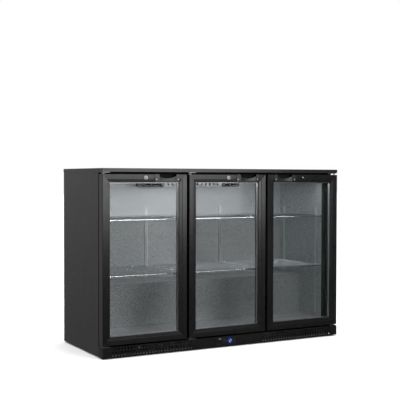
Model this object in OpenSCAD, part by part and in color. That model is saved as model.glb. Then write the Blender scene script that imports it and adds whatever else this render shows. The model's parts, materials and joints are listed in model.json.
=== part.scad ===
// Undercounter refrigerator: three hinged glass doors on a foamed cabinet with wire shelves.
// Millimetres. The origin is the bottom centre, +Z is up and the doors face -Y.
// Each door is drawn with its hinge edge at x = 0, then placed or mirrored into its bay.

/* [Cabinet] */
// Overall width
body_w = 1350; // [1250:10:1700]
// Depth from the door faces to the back panel
body_d = 520; // [500:10:650]
// Overall height with the worktop
body_h = 890; // [840:10:1100]
// Gap between the floor and the plinth
floor_gap = 6; // [6:1:20]
// Outer skin to liner face
wall_t = 41; // [32:1:50]
// Sheet-metal skin thickness
skin_t = 1; // [0.8:0.1:1.5]
// Thickness of the insulated floor
floor_t = 37.5; // [30:0.5:50]
// Thickness of the insulated ceiling
ceiling_t = 34.5; // [30:0.5:50]
// Thickness of the front frame strips
frame_t = 3; // [2:0.5:5]
// Depth of the mullions
mullion_t = 10; // [8:1:16]
// Depth of the strips that line the front of the side walls
breaker_d = 25; // [12:1:40]

/* [Worktop] */
// Worktop thickness
top_t = 17.5; // [15:0.5:30]
// Overhang of the worktop past each side panel
side_overhang = 1.5; // [1:0.5:6]
// Depth of the flange under the worktop's front edge
top_flange = 36; // [36:1:40]

/* [Plinth] */
// Plinth height
plinth_h = 48.5; // [44:0.5:70]
// Side of a square vent hole
vent_hole = 8.5; // [5:0.5:10]
// Pitch of the vent holes
vent_pitch = 16; // [12:0.5:20]
// Rows of vent holes
vent_rows = 3; // [2:1:3]
// Plain border beside the outermost vent holes
vent_margin = 46; // [30:1:80]
// Half width of the plain middle of the plinth
vent_free = 196; // [120:1:220]

/* [Doors] */
// Door thickness
door_t = 44; // [40:1:50]
// Gap between two doors
door_gap = 12.5; // [12:0.5:20]
// Gap between the doors and the worktop
gap_top = 10.5; // [10:0.5:14]
// Gap between the doors and the plinth
gap_bottom = 7.5; // [7:0.5:12]
// Visible width of a door rail or stile
rail_w = 40; // [38:1:50]
// Width of the outer band of a rail
band_w = 24; // [18:1:28]
// Pane thickness
pane_t = 4; // [3:0.5:6]
// Gas space between the two panes
pane_space = 12; // [9:1:14]
// How far the panes sit inside the rails
pane_edge = 10; // [6:1:12]
// Magnetic gasket width
gasket_w = 15; // [12:1:18]
// Magnetic gasket thickness
gasket_t = 9; // [8:0.2:12]
// Clear space that the swinging gasket keeps from the front frame
seal_gap = 0.4; // [0.3:0.1:1]

/* [Hinges and locks] */
// Pivot distance from the hinge edge of the door
pivot_in = 10; // [9:0.5:12]
// Pivot distance behind the door face
pivot_back = 15; // [13:0.5:16]
// Hinge pin radius
pin_r = 4; // [3:0.5:4.5]
// Nylon bush outer radius
bush_r = 6; // [5.5:0.5:7]
// Length of a bush inside the door
bush_len = 14; // [10:1:18]
// Thickness of the hinge plates
plate_t = 3; // [2:0.5:4]
// Lock plug radius
plug_r = 6; // [5:0.5:7]
// Lock axis below the door's top edge
lock_drop = 16; // [15:0.5:18]
// Lock bezel standing proud of the door
lock_proud = 2; // [1:0.5:3]
// Radial clearance of a running fit
run_fit = 0.05; // [0.02:0.01:0.09]
// Radial clearance of a fixed fit
fix_fit = 0.05; // [0.02:0.01:0.2]

/* [Handles] */
// Width of the recessed handle
handle_w = 131; // [110:1:150]
// Height of the handle's face
handle_h = 35; // [32:0.5:36]
// Depth of the handle's pocket body
handle_d = 27; // [24:0.5:28]
// Width of the finger pocket
pocket_w = 92; // [70:1:100]
// Drop of the lip's curved edge at its middle
lip_drop = 20; // [16:0.5:22]
// Drop of the lip's curved edge at its ends
lip_ends = 9; // [5:0.5:12]
// Depth of the hollow in the front of the lip
lip_hollow = 7; // [4:0.5:8]

/* [Interior] */
// Height of the machine compartment
mach_h = 264; // [230:2:270]
// Depth of the machine compartment
mach_d = 200; // [180:2:220]
// Height of the lower shelf
lower_shelf_z = 375; // [340:5:420]
// Height of the upper shelf
upper_shelf_z = 641; // [560:5:660]
// Rise of the shelf strips above the upper shelf
pilaster_rise = 44; // [20:4:120]
// Radius of the shelf's front and rear wires
rim_r = 3; // [2.5:0.1:4]
// Radius of the shelf's fine wires
wire_r = 1.5; // [1:0.1:2]
// Pitch of the shelf's fine wires
wire_pitch = 14; // [10:1:30]
// Side of an evaporator fan
fan_size = 104; // [92:4:132]
// Thickness of an evaporator fan
fan_t = 25; // [25:1:30]
// Distance of each evaporator fan from the middle
fan_x = 236; // [225:1:260]

/* [Controls] */
// Width of the control panel
panel_w = 115; // [105:1:130]
// Middle of the control panel along X
panel_x = -11.5; // [-40:0.5:40]
// Radius of the thermostat knob
knob_r = 14; // [11:0.5:15]
// Half the rocker switch's swing in degrees
rocker_tilt = 7; // [4:1:8]

/* [Feet] */
// Radius of a foot pad
foot_r = 19; // [15:1:25]
// Radius of a foot stem
stem_r = 5; // [4:0.5:6]
// Distance of each foot from the cabinet's side and back
foot_inset = 60; // [45:1:100]

/* [Hidden] */
$fn = 48;

// Colours
panel_black = [0.16, 0.16, 0.17];
door_black = [0.09, 0.09, 0.10];
dark_plastic = [0.05, 0.05, 0.06];
aluminium = [0.72, 0.73, 0.75];
steel = [0.62, 0.64, 0.66];
foam_cream = [0.90, 0.86, 0.70];

// Cabinet planes
clear = 0.3;                           // free space between parts that only face each other
fix_gap = 0.2;                         // gap around a part let into another
eps = 0.01;
half_w = body_w / 2;
y_front = -body_d / 2;
y_back = body_d / 2;
z_under = body_h - top_t;              // underside of the worktop
side_x = half_w - side_overhang;       // outer face of the side panels
inner_x = side_x - wall_t;             // liner face of the side walls
y_door_back = y_front + door_t;
gasket_in = 3;                         // gasket's distance in from the door's edge
y_gasket = y_door_back + gasket_t;     // rear face of the gasket
pivot_y = y_front + pivot_back;
gasket_reach = norm([pivot_in - gasket_in, y_gasket - pivot_y]);
y_frame = ceil((pivot_y + gasket_reach + seal_gap) * 10) / 10;
y_liner = y_frame + frame_t;
y_rear = y_back - wall_t;              // liner face of the rear wall
z_plinth = floor_gap + plinth_h;       // top of the plinth and of the base pan's deck
z_floor = z_plinth + floor_t;
z_ceiling = z_under - ceiling_t;
z_mach = floor_gap + mach_h;           // roof of the machine compartment
y_mach = y_back - mach_d;
step_t = wall_t - skin_t;              // insulated step over the machine compartment
y_step = y_mach - step_t;
z_step = z_mach + step_t;
pan_t = 1.5;                           // base pan and plinth sheet
top_return = 25;                       // returns under the worktop's sides and back
breaker_t = 1.5;                       // thickness of the strips on the side walls

// Door planes
door_w = (body_w - 2 * door_gap) / 3;
z_door = z_plinth + gap_bottom;
z_door_top = z_under - gap_top;
door_h = z_door_top - z_door;
bay_edges = [for (i = [0:2]) -half_w + i * (door_w + door_gap)];
mullion_x = door_w / 2 + door_gap / 2; // each side of the middle
mullion_w = door_gap + 2 * (gasket_in + gasket_w + 1);
band_slope = 1.5;                      // fall of the outer band towards the glass
band_step = 2.5;
lip_face = 6;                          // depth of the inner band at the glass
lip_back = 9;                          // front of the glass unit
unit_t = 2 * pane_t + pane_space;
rear_lip = 4;
mitre_gap = 0.15;                      // half the width of a mitre joint
groove_w = 3;
groove_d = 4;
groove_in = gasket_in + gasket_w / 2;

// Lock and handle places inside a door
lock_z = z_door_top - lock_drop;
lock_x = door_w / 2;
cam_y = y_front + 21;                  // front face of the cam
cam_t = 2.5;
cam_w = 8;
cam_rise = lock_drop + gap_top;        // lock axis to the worktop's underside
cam_len = cam_rise + 4;
cam_slot = 5;
slot_y = cam_y - (cam_slot - cam_t) / 2;
keeper_half = sqrt(cam_len ^ 2 - cam_rise ^ 2) + 1;
handle_x1 = door_w - rail_w - 2.5;
handle_x0 = handle_x1 - handle_w;
handle_face_t = 7.5;
handle_proud = 1;                      // handle face in front of the door face
handle_rim = 6;                        // handle face around the pocket body
handle_gap = 1.4;                      // gap around the handle face
ear_r = 5;                             // lower corners of the handle face
lip_t = lip_hollow + 3;                // front of the finger pocket
lip_step = 1.5;                        // depth of the hollow at the lip's ends

// Shelves
shelf_y0 = y_frame + mullion_t + 8;    // centre of the front wire
shelf_y1 = y_rear - 13;                // centre of the rear wire
shelf_edge = 6;                        // shelf to side wall
shelf_half_gap = 5;                    // shelf end to the middle of a mullion
side_r = 2.5;
weld = 0.5;                            // depth of the welds where wires cross
pilaster_w = 16;
pilaster_t = 4;
pilaster_y = [-125, shelf_y1 - 30];    // places on the side walls
pilaster_pitch = 20;
clip_t = 2;
clip_w = 14;
evap_y0 = y_rear - fan_size - 6;
z_evap = z_ceiling - 15;               // underside of the evaporator cover's wings
evap_deep = 41;                        // depth of the evaporator cover's middle
evap_half = fan_x - fan_size / 2 - 9;
shelf_top_limit = z_ceiling - evap_deep - 4;

// ---------------------------------------------------------------- shared shapes

// Block between two corners
module block(lo, hi) {
  translate(lo) cube(hi - lo);
}

// Outline in X and Z, given thickness between y0 and y1
module plate_y(y0, y1) {
  translate([0, y1, 0]) rotate([90, 0, 0]) linear_extrude(y1 - y0) children();
}

// Outline in Y and Z, given thickness between x0 and x1
module plate_x(x0, x1) {
  translate([x0, 0, 0]) rotate([90, 0, 90]) linear_extrude(x1 - x0) children();
}

// Rectangle between two corners
module rect(lo, hi) {
  translate(lo) square(hi - lo);
}

// Round bar along Y from y0 to y1
module rod_y(x, z, y0, y1, r) {
  translate([x, y1, z]) rotate([90, 0, 0]) cylinder(r = r, h = y1 - y0);
}

// Round bar along X from x0 to x1
module rod_x(y, z, x0, x1, r) {
  translate([x0, y, z]) rotate([0, 90, 0]) cylinder(r = r, h = x1 - x0);
}

// Countersunk-style screw with a cross recess, head down on z = 0 and shank along -Z
module screw(head_r, shank_r, len) {
  difference() {
    union() {
      cylinder(r = head_r, h = 1.8);
      translate([0, 0, -len]) cylinder(r = shank_r, h = len + eps);
    }
    translate([-head_r * 0.6, -0.5, 0.8]) cube([head_r * 1.2, 1, 2]);
    translate([-0.5, -head_r * 0.6, 0.8]) cube([1, head_r * 1.2, 2]);
  }
}

// ---------------------------------------------------------------- cabinet shell

// Rows and columns of square vents on each side of the plinth's middle
function vent_count(span) = floor((span - vent_hole) / vent_pitch) + 1;
vent_span = half_w - vent_margin - vent_free;
vent_cols = vent_count(vent_span);
vent_z = [for (r = [0:vent_rows - 1])
  z_plinth - 9.5 - r * min(vent_pitch, (plinth_h - 16) / max(1, vent_rows - 1))];
screw_col = 8;                         // column beside the plinth's fixing screw
plinth_screw = [-half_w + vent_margin + (screw_col + 0.5) * vent_pitch + vent_hole / 2,
                z_plinth - 11.5];

// True where a vent is left out for the fixing screw
function vent_blocked(side, col, row) =
  side < 0 && row < 2 && (col == screw_col || (row == 0 && col == screw_col + 1));

panel_z0 = floor_gap + 4;
panel_z1 = z_plinth - 5.5;
panel_x0 = panel_x - panel_w / 2;
panel_x1 = panel_x + panel_w / 2;

module worktop() {
  color(panel_black)
  difference() {
    block([-half_w, y_front, z_under], [half_w, y_back, body_h]);
    block([-half_w + skin_t, y_front + skin_t, z_under + skin_t],
          [half_w - skin_t, y_back - skin_t, body_h - skin_t]);
    block([-half_w + top_return, y_front + top_flange, z_under - 1],
          [half_w - top_return, y_back - top_return, z_under + skin_t + eps]);
    // keeper slots that the lock cams rise into
    for (i = [0:2])
      block([lock_place(i) - keeper_half, slot_y - 1, z_under - 1],
            [lock_place(i) + keeper_half, slot_y + cam_slot + 1, z_under + skin_t + 1]);
  }
}

module side_skin() {
  block([side_x - skin_t, y_frame, floor_gap], [side_x, y_back, z_under]);
}

module side_panel_left() {
  color(panel_black) mirror([1, 0, 0]) side_skin();
}

module side_panel_right() {
  color(panel_black) side_skin();
}

module back_panel() {
  color(panel_black)
  block([-side_x + skin_t, y_back - skin_t, z_mach], [side_x - skin_t, y_back, z_under]);
}

// Base pan: air duct under the floor, opening into the machine compartment at the rear
module base_pan() {
  color(steel)
  difference() {
    block([-side_x + skin_t, y_frame, floor_gap], [side_x - skin_t, y_back - pan_t, z_mach]);
    block([-side_x + skin_t + pan_t, y_frame - 1, floor_gap + pan_t],
          [side_x - skin_t - pan_t, y_back, z_plinth - pan_t]);
    block([-side_x + skin_t + pan_t, y_mach, floor_gap + pan_t],
          [side_x - skin_t - pan_t, y_back, z_mach - pan_t]);
    block([-side_x, y_frame - 1, z_plinth], [side_x, y_mach - pan_t, z_mach + 1]);
    for (p = foot_places)
      translate([p[0], p[1], 0]) cylinder(r = stem_r + clear, h = floor_gap + pan_t + 1);
  }
}

// Foam panels: sides in two pieces, floor, riser, step, back, ceiling and the worktop's filling
module insulation() {
  foam_x = side_x - skin_t;
  lx = inner_x + skin_t;
  fx = lx - clear;
  color(foam_cream) {
    for (x = [-foam_x, lx]) {
      block([x, y_liner, z_mach], [x + foam_x - lx, y_back - skin_t, z_under]);
      block([x, y_liner, z_plinth], [x + foam_x - lx, y_mach - pan_t, z_mach - clear]);
    }
    block([-fx, y_liner, z_plinth], [fx, y_step + skin_t - clear, z_floor - skin_t]);
    block([-fx, y_step + skin_t, z_plinth], [fx, y_mach - pan_t, z_step - skin_t]);
    block([-fx, y_mach - pan_t + clear, z_mach], [fx, y_rear + skin_t - clear, z_step - skin_t]);
    block([-fx, y_rear + skin_t, z_mach], [fx, y_back - skin_t, z_under]);
    block([-fx, y_liner, z_ceiling + skin_t], [fx, y_rear + skin_t - clear, z_under]);
    block([-half_w + top_return + 1, y_front + top_flange + 1, z_under + clear],
          [half_w - top_return - 1, y_back - top_return - 1, body_h - skin_t]);
  }
}

// Inside of the liner in Y and Z; grow moves its walls outwards
module liner_outline(grow, front) {
  polygon([[front, z_floor - grow], [y_step + grow, z_floor - grow],
           [y_step + grow, z_step - grow], [y_rear + grow, z_step - grow],
           [y_rear + grow, z_ceiling + grow], [front, z_ceiling + grow]]);
}

module liner() {
  color(aluminium)
  difference() {
    plate_x(-inner_x - skin_t, inner_x + skin_t) liner_outline(skin_t, y_liner);
    plate_x(-inner_x, inner_x) liner_outline(0, y_liner - 1);
  }
}

// Frame strips that the gaskets close on, their returns along the side walls, and the two
// hollow mullions between the doors
module front_frame() {
  post_x = side_x - skin_t;
  color(dark_plastic) {
    for (s = [0, 1])
      mirror([s, 0, 0]) {
        block([inner_x, y_frame, z_plinth], [post_x, y_liner, z_under]);
        block([inner_x - breaker_t, y_frame, z_floor + clear],
              [inner_x, y_frame + breaker_d, z_ceiling - clear]);
      }
    for (z = [[z_plinth, z_floor], [z_ceiling, z_under]])
      block([-inner_x + clear, y_frame, z[0]], [inner_x - clear, y_liner, z[1]]);
    for (s = [-1, 1])
      difference() {
        block([s * mullion_x - mullion_w / 2, y_frame, z_floor + clear],
              [s * mullion_x + mullion_w / 2, y_frame + mullion_t, z_ceiling - clear]);
        block([s * mullion_x - mullion_w / 2 + 3, y_frame + 3, z_floor - 1],
              [s * mullion_x + mullion_w / 2 - 3, y_frame + mullion_t - 3, z_ceiling + 1]);
      }
  }
}

module plinth_vents() {
  for (s = [-1, 1], c = [0:vent_cols - 1], r = [0:vent_rows - 1])
    if (!vent_blocked(s, c, r))
      translate([s * (half_w - vent_margin - vent_hole / 2 - c * vent_pitch), vent_z[r]])
        square(vent_hole, center = true);
}

// Folded plinth: perforated face, top and bottom flanges and side returns
module plinth_grille() {
  color(panel_black) {
    difference() {
      union() {
        plate_y(y_front, y_front + pan_t)
          difference() {
            rect([-half_w, floor_gap], [half_w, z_plinth]);
            plinth_vents();
            rect([panel_x0 - clear, panel_z0 - clear], [panel_x1 + clear, panel_z1 + clear]);
          }
        block([-half_w, y_front + pan_t - eps, z_plinth - pan_t],
              [half_w, y_frame, z_plinth]);
        block([-half_w, y_front + pan_t - eps, floor_gap],
              [half_w, y_front + 16, floor_gap + pan_t]);
        for (s = [-1, 1])
          block([s < 0 ? -half_w : half_w - pan_t, y_front + pan_t - eps, floor_gap],
                [s < 0 ? -half_w + pan_t : half_w, y_frame - 2, z_plinth]);
      }
      rod_y(plinth_screw[0], plinth_screw[1], y_front - 1, y_front + pan_t + 1, 1.6 + clear);
    }
  }
}

// ---------------------------------------------------------------- hinges, feet, screws

plate_w = 36;
plate_y0 = y_front + 5;

// Pivot of door i, counted from the left; the right-hand door is hinged on its right
function pivot_x(i) = i == 2 ? half_w - pivot_in : bay_edges[i] + pivot_in;
function plate_x0(i) = pivot_x(i) + (i == 2 ? pivot_in - 3 - plate_w : 3 - pivot_in);
function lock_place(i) = bay_edges[i] + door_w / 2;

// One plate with its pin pointing into the door and two screw holes
module hinge_plate(i, z, up) {
  x0 = plate_x0(i);
  reach = up ? gap_bottom - plate_t : gap_top - plate_t;
  difference() {
    union() {
      block([x0, plate_y0, z], [x0 + plate_w, y_frame, z + plate_t]);
      translate([pivot_x(i), pivot_y, up ? z + plate_t - eps : z - reach - bush_len + 2])
        cylinder(r = pin_r, h = reach + bush_len - 2 + eps);
    }
    for (p = plate_screws(i))
      translate([p[0], p[1], z - 1]) cylinder(r = 2 + clear, h = plate_t + 2);
  }
}

function plate_screws(i) = [for (k = [0, 1])
  [plate_x0(i) + plate_w / 2 + (k - 0.5) * 18, y_frame - 18]];

module hinge_plates() {
  color(steel)
  for (i = [0:2]) {
    hinge_plate(i, z_plinth, true);
    hinge_plate(i, z_under - plate_t, false);
  }
}

foot_places = [for (sx = [-1, 1], y = [y_frame + 40, y_back - foot_inset])
  [sx * (side_x - foot_inset), y]];

// Levelling foot: pad, stem and lock nut above the base pan
module foot() {
  cylinder(r1 = foot_r, r2 = foot_r - 2, h = floor_gap - 1.5);
  translate([0, 0, floor_gap - 1.5 - eps]) cylinder(r = stem_r, h = 30);
  translate([0, 0, floor_gap + pan_t]) cylinder(r = stem_r + 4, h = 5, $fn = 6);
}

module levelling_feet() {
  color(dark_plastic)
  for (p = foot_places)
    translate([p[0], p[1], 0]) foot();
}

grille_x = side_x - skin_t - pan_t - 12;
back_screws = [for (x = [-grille_x, 0, grille_x], z = [floor_gap + 16, z_mach - 12]) [x, z]];

module cabinet_screws() {
  color(steel) {
    // plinth fixing screw
    translate([plinth_screw[0], y_front, plinth_screw[1]])
      rotate([90, 0, 0]) screw(3.4, 1.6, 7);
    // hinge plate screws, driven up into the worktop's flange and down into the plinth
    for (i = [0:2], p = plate_screws(i)) {
      translate([p[0], p[1], z_under - plate_t]) rotate([180, 0, 0]) screw(4, 2, plate_t);
      translate([p[0], p[1], z_plinth + plate_t]) screw(4, 2, plate_t);
    }
    // rear grille screws
    for (p = back_screws)
      translate([p[0], y_back, p[1]]) rotate([-90, 0, 0]) screw(3.4, 1.6, pan_t);
  }
}

// ---------------------------------------------------------------- controls in the plinth

bezel_t = 6;
knob_x = panel_x1 - 34;
knob_z = (panel_z0 + panel_z1) / 2 + 1.5;
rocker_x = panel_x0 + 21;
rocker_w = 20;
rocker_h = 23;
rocker_z = (panel_z0 + panel_z1) / 2 - 2.5;
rocker_y = y_front + 6.4;
led_x = knob_x - 30;
led_z = knob_z + 4;
led_r = 1.5;
knob_shaft = 3;
grip_w = 4.4;
grip_proud = 2;
rocker_pin = 1.5;

module control_housing() {
  color(dark_plastic)
  difference() {
    union() {
      block([panel_x0, y_front, panel_z0], [panel_x1, y_front + bezel_t, panel_z1]);
      difference() {
        block([panel_x0 + 3, y_front + bezel_t - eps, panel_z0 + 3],
              [panel_x1 - 3, y_front + 32, panel_z1 - 3]);
        block([panel_x0 + 5, y_front + bezel_t, panel_z0 + 5],
              [panel_x1 - 5, y_front + 33, panel_z1 - 5]);
      }
      rod_y(knob_x, knob_z, y_front + bezel_t - eps, y_front + 14, knob_shaft + 2);
      // bearing cheeks of the rocker
      for (s = [-1, 1])
        block([rocker_x + s * (rocker_w / 2 + 1.5) - 1.5, y_front + bezel_t - eps, rocker_z - 5],
              [rocker_x + s * (rocker_w / 2 + 1.5) + 1.5, y_front + 12, rocker_z + 5]);
    }
    rod_y(knob_x, knob_z, y_front - 1, y_front + 4, knob_r + 0.5);
    rod_y(knob_x, knob_z, y_front, y_front + 15, knob_shaft + run_fit);
    rod_y(led_x, led_z, y_front - 1, y_front + bezel_t + 1, led_r + fix_fit);
    block([rocker_x - rocker_w / 2, y_front - 1, rocker_z - rocker_h / 2 - 1.5],
          [rocker_x + rocker_w / 2, y_front + bezel_t + 7, rocker_z + rocker_h / 2 + 1.5]);
    rod_x(rocker_y, rocker_z, rocker_x - rocker_w / 2 - 2, rocker_x + rocker_w / 2 + 2,
          rocker_pin + run_fit);
    // parting line between the switch field and the thermostat field
    block([panel_x0 + 37, y_front - 1, panel_z0 - 1], [panel_x0 + 37.6, y_front + 0.5, panel_z1 + 1]);
  }
}

// Round knob with a raised diagonal grip, turning on its shaft
module thermostat_knob() {
  color([0.05, 0.10, 0.55])
  translate([knob_x, 0, knob_z]) {
    rod_y(0, 0, y_front - 0.5, y_front + 3.6, knob_r);
    rod_y(0, 0, y_front + 3.6 - eps, y_front + 13, knob_shaft);
    intersection() {
      rotate([0, -45, 0])
        block([-grip_w / 2, y_front - grip_proud, -knob_r], [grip_w / 2, y_front, knob_r]);
      rod_y(0, 0, y_front - 5, y_front + 3, knob_r - 1.5);
    }
  }
}

// Rocker with a hollow face and two pivot pins, tilted to its rest side
module light_switch() {
  h = rocker_h / 2;
  color(dark_plastic)
  translate([0, rocker_y, rocker_z]) rotate([rocker_tilt, 0, 0]) {
    plate_x(rocker_x - rocker_w / 2 + clear, rocker_x + rocker_w / 2 - clear)
      polygon([[-6.4, h], [-5, 0], [-6.4, -h], [2, -h + 4], [2, h - 4]]);
    rod_x(0, 0, rocker_x - rocker_w / 2 - 2 + clear, rocker_x + rocker_w / 2 + 2 - clear,
          rocker_pin);
  }
}

module power_led() {
  color([0.2, 0.4, 1])
  rod_y(led_x, led_z, y_front - 0.4, y_front + bezel_t, led_r);
}

// ---------------------------------------------------------------- doors

// Door i in its bay; the right-hand door is the mirror image
module in_bay(i) {
  if (i == 2) translate([half_w, 0, 0]) mirror([1, 0, 0]) children();
  else translate([bay_edges[i], 0, 0]) children();
}

// Section of a rail: depth from the door face, then distance in from the outer edge
module rail_section() {
  channel = rail_w - pane_edge;
  unit_back = lip_back + unit_t;
  polygon([[1.5, 0], [0, 1.5], [band_slope, band_w], [band_slope + band_step, band_w + 1],
           [lip_face, rail_w - 1], [lip_face + 1, rail_w], [lip_back, rail_w],
           [lip_back, channel], [unit_back, channel], [unit_back, rail_w - rear_lip],
           [door_t, rail_w - rear_lip], [door_t, groove_in + groove_w / 2],
           [door_t - groove_d, groove_in + groove_w / 2],
           [door_t - groove_d, groove_in - groove_w / 2],
           [door_t, groove_in - groove_w / 2], [door_t, 1], [door_t - 1, 0]]);
}

// Mitred rail of the given length along X, its inner edge towards +Z
module rail(len) {
  cut = rail_w + 5;
  translate([0, y_front, 0])
  intersection() {
    plate_x(0, len) rail_section();
    plate_y(-1, door_t + 1)
      polygon([[mitre_gap, 0], [len - mitre_gap, 0], [len - cut - mitre_gap, cut],
               [cut + mitre_gap, cut]]);
  }
}

// Everything that is cut out of the frame: bush holes, lock bore, cam slot, handle recess
module frame_cuts() {
  for (z = [z_door - 1, z_door_top - bush_len - 1])
    translate([pivot_in, pivot_y, z]) cylinder(r = bush_r + fix_fit, h = bush_len + 2);
  rod_y(lock_x, lock_z, y_front - 1, slot_y + 1, plug_r + 2 + fix_fit);
  block([lock_x - cam_len - 3, slot_y, lock_z - plug_r - 1],
        [lock_x + plug_r + 1, slot_y + cam_slot, z_door_top + 1]);
  plate_y(y_front - 1, y_front + handle_face_t + fix_gap)
    handle_outline(handle_gap);
  block([handle_x0 + handle_rim - fix_gap, y_front, z_door_top - handle_h + handle_rim - fix_gap],
        [handle_x1 - handle_rim + fix_gap, y_front + handle_d + fix_gap, z_door_top + 1]);
}

// Four mitred rails
module door_frame() {
  color(door_black) {
    difference() {
      translate([0, 0, z_door]) rail(door_w);
      frame_cuts();
    }
    difference() {
      translate([door_w, 0, z_door_top]) rotate([0, 180, 0]) rail(door_w);
      frame_cuts();
    }
    difference() {
      translate([0, 0, z_door_top]) rotate([0, 90, 0]) rail(door_h);
      frame_cuts();
    }
    difference() {
      translate([door_w, 0, z_door]) rotate([0, -90, 0]) rail(door_h);
      frame_cuts();
    }
  }
}

// Rectangle of the door drawn in by t on every side
module door_rect(t) {
  rect([t, z_door + t], [door_w - t, z_door_top - t]);
}

// Two panes of the sealed glass unit
module door_glass() {
  edge = rail_w - pane_edge + clear;
  y0 = y_front + lip_back;
  color([0.75, 0.85, 0.88, 0.3]) {
    plate_y(y0 + fix_fit, y0 + pane_t) door_rect(edge);
    plate_y(y0 + pane_t + pane_space, y0 + unit_t - fix_fit) door_rect(edge);
  }
}

// Aluminium spacer bar between the panes
module door_spacer() {
  edge = rail_w - pane_edge + 2;
  y0 = y_front + lip_back + pane_t;
  color(aluminium)
  plate_y(y0, y0 + pane_space)
    difference() {
      door_rect(edge);
      door_rect(edge + 10);
    }
}

// Magnetic gasket with its dart in the frame's groove
module door_gasket() {
  color(dark_plastic) {
    plate_y(y_door_back, y_gasket)
      difference() {
        door_rect(gasket_in);
        door_rect(gasket_in + gasket_w);
      }
    plate_y(y_door_back - groove_d + clear, y_door_back + eps)
      difference() {
        door_rect(groove_in - groove_w / 2 + clear);
        door_rect(groove_in + groove_w / 2 - clear);
      }
  }
}

// Radius of an arc from half its chord and its rise
function arc_radius(half, rise) = (half ^ 2 + rise ^ 2) / (2 * rise);

// Handle face drawn out by grow, with round lower corners
module handle_outline(grow) {
  r = ear_r + grow;
  x0 = handle_x0 - grow;
  x1 = handle_x1 + grow;
  z0 = z_door_top - handle_h - grow;
  rect([x0, z0 + r], [x1, z_door_top + grow]);
  rect([x0 + r, z0], [x1 - r, z0 + r + eps]);
  for (x = [x0 + r, x1 - r])
    translate([x, z0 + r]) circle(r);
}

// Recessed handle: a face plate with two ears, a finger pocket behind a scooped lip
module door_handle() {
  top = z_door_top;
  mid = (handle_x0 + handle_x1) / 2 + 4;
  half = pocket_w / 2;
  pocket_floor = top - handle_h + handle_rim + 2;
  edge_r = arc_radius(half, lip_drop - lip_ends);
  hollow_half = half - 2;
  hollow_r = arc_radius(hollow_half, lip_hollow - lip_step);
  color(dark_plastic)
  difference() {
    union() {
      plate_y(y_front - handle_proud, y_front + handle_face_t) handle_outline(0);
      block([handle_x0 + handle_rim, y_front + handle_face_t - eps, top - handle_h + handle_rim],
            [handle_x1 - handle_rim, y_front + handle_d, top]);
    }
    // finger pocket, open at the top
    block([mid - half, y_front + lip_t, pocket_floor],
          [mid + half, y_front + handle_d - 2.5, top + 1]);
    // curved top edge of the lip
    intersection() {
      block([mid - half, y_front - 5, pocket_floor], [mid + half, y_front + lip_t + 1, top + 1]);
      rod_y(mid, top - lip_drop + edge_r, y_front - 6, y_front + lip_t + 2, edge_r);
    }
    // hollow front of the lip
    intersection() {
      block([mid - hollow_half, y_front - 5, top - handle_h + 3],
            [mid + hollow_half, y_front + lip_t, top + 1]);
      translate([mid, y_front + lip_hollow - hollow_r, top - handle_h])
        cylinder(r = hollow_r, h = handle_h + 2);
    }
    // screw holes in the ears
    for (x = [handle_x0 + 9, handle_x1 - 7])
      rod_y(x, top - handle_h + 11, y_front - 2, y_front + handle_face_t + 2, 2.2);
  }
}

// Fixed lock barrel with its bezel
module lock_housing() {
  color(steel)
  difference() {
    union() {
      rod_y(lock_x, lock_z, y_front - lock_proud, y_front - eps, plug_r + 3.5);
      rod_y(lock_x, lock_z, y_front - 0.1, slot_y, plug_r + 2);
    }
    rod_y(lock_x, lock_z, y_front - 5, slot_y + 1, plug_r + run_fit);
  }
}

// Turning lock plug with its keyway and the cam that rises into the worktop
module lock_cylinder() {
  color(steel)
  difference() {
    union() {
      rod_y(lock_x, lock_z, y_front - lock_proud, cam_y + eps, plug_r);
      intersection() {
        block([lock_x - cam_len, cam_y, lock_z - cam_w / 2],
              [lock_x, cam_y + cam_t, lock_z + cam_w / 2]);
        rod_y(lock_x, lock_z, cam_y - 1, cam_y + cam_t + 1, cam_len);
      }
      rod_y(lock_x, lock_z, cam_y, cam_y + cam_t, cam_w / 2);
    }
    block([lock_x - 0.6, y_front - 5, lock_z - 3.5], [lock_x + 0.6, y_front + 3, lock_z + 3.5]);
  }
}

// Nylon bush with a flange, z at the door's edge
module bush(up) {
  difference() {
    union() {
      translate([0, 0, up ? -bush_len : -1]) cylinder(r = bush_r, h = bush_len + 1);
      translate([0, 0, up ? 0 : -1.5]) cylinder(r = bush_r + 2.5, h = 1.5);
    }
    translate([0, 0, -bush_len - 2]) cylinder(r = pin_r + run_fit, h = 2 * bush_len + 4);
  }
}

module hinge_bushes() {
  color([0.85, 0.85, 0.82])
  translate([pivot_in, pivot_y, 0]) {
    translate([0, 0, z_door]) bush(false);
    translate([0, 0, z_door_top]) bush(true);
  }
}

// ---------------------------------------------------------------- shelves

// Left and right limits of the shelf in bay i
function shelf_left(i) = i == 0 ? -inner_x + shelf_edge
  : (i == 1 ? -mullion_x : mullion_x) + shelf_half_gap;
function shelf_right(i) = i == 2 ? inner_x - shelf_edge
  : (i == 0 ? -mullion_x : mullion_x) - shelf_half_gap;

// Wire shelf: thick rim, two cross wires under the fine wires that run front to back
module wire_shelf(i, z) {
  x0 = shelf_left(i);
  x1 = shelf_right(i);
  count = floor((x1 - x0 - 4 * side_r) / wire_pitch);
  step = (x1 - x0 - 2 * side_r) / (count + 1);
  wire_z = z + rim_r + wire_r - weld;
  color(steel) {
    for (y = [shelf_y0, shelf_y1])
      rod_x(y, z, x0, x1, rim_r);
    for (k = [1, 2])
      rod_x(shelf_y0 + k * (shelf_y1 - shelf_y0) / 3, z + rim_r - side_r, x0 + side_r, x1 - side_r,
            side_r);
    for (x = [x0 + side_r + 0.2, x1 - side_r - 0.2])
      rod_y(x, z + 0.3, shelf_y0 - 1, shelf_y1 + 1, side_r);
    for (k = [1:count])
      rod_y(x0 + side_r + k * step, wire_z, shelf_y0 - 1, shelf_y1 + 1, wire_r);
  }
}

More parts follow.
